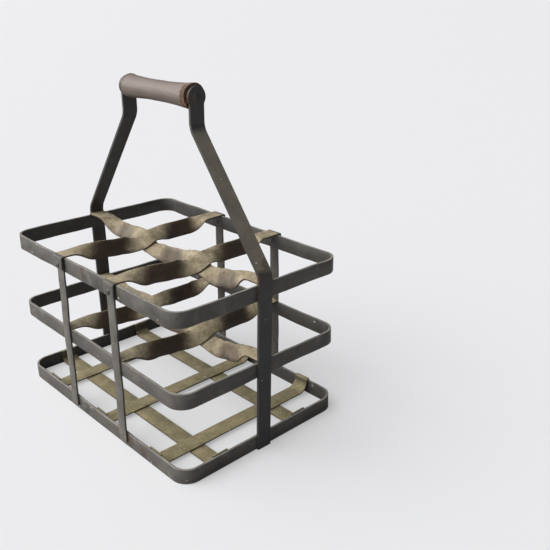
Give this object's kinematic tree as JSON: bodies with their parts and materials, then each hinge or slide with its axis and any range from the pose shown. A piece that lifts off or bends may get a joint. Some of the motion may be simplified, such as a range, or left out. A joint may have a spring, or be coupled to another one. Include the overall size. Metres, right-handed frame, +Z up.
{
  "type": "milk bottle crate",
  "caption": "Open carrying crate of flat iron strap with bottle pockets on a strap floor, twisted dividers and a turned wooden grip on a rod between two arms.",
  "frame": {"origin": "centre of the footprint, on the plane that the crate stands on", "axes": "+X along the crate and its grip, +Y across it towards the back, +Z up"},
  "size_m": [0.2952, 0.2118, 0.3393],
  "materials": {
    "hoop_iron": "weathered dark strap iron, grey on the faces, pitted and rust-flecked on the edges",
    "upright_iron": "weathered dark strap iron",
    "arm_iron": "smooth dark iron, handled, dusty on the leaning faces",
    "divider_iron": "dark strap iron under dry tan dust, with rust-brown patches",
    "floor_iron": "dark strap iron under olive-tan dust and light rust",
    "rivet_iron": "dull dark iron, peened by hand",
    "grip_wood": "turned hardwood, weathered grey-brown, chipped to red-brown at one end"
  },
  "bodies": {
    "crate": {"back_upright_left": "upright_iron", "back_upright_right": "upright_iron", "bottom_hoop": "hoop_iron", "floor_cross_strap_centre": "floor_iron", "floor_cross_strap_left": "floor_iron", "floor_cross_strap_right": "floor_iron", "floor_long_strap_back": "floor_iron", "floor_long_strap_front": "floor_iron", "front_upright_left": "upright_iron", "front_upright_right": "upright_iron", "handle_rod": "rivet_iron", "lap_rivets": "rivet_iron", "left_handle_arm": "arm_iron", "middle_cross_strap_left": "divider_iron", "middle_cross_strap_right": "divider_iron", "middle_hoop": "hoop_iron", "middle_long_strap": "divider_iron", "right_handle_arm": "arm_iron", "top_cross_strap_left": "divider_iron", "top_cross_strap_right": "divider_iron", "top_hoop": "hoop_iron", "top_long_strap": "divider_iron"},
    "grip": {"wooden_grip": "grip_wood"}
  },
  "joints": [
    {"name": "grip_spin", "type": "hinge", "parent": "crate", "child": "grip", "pos_m": [-0.0025, 0, 0.3265], "axis": [1, 0, 0], "continuous": true}
  ]
}
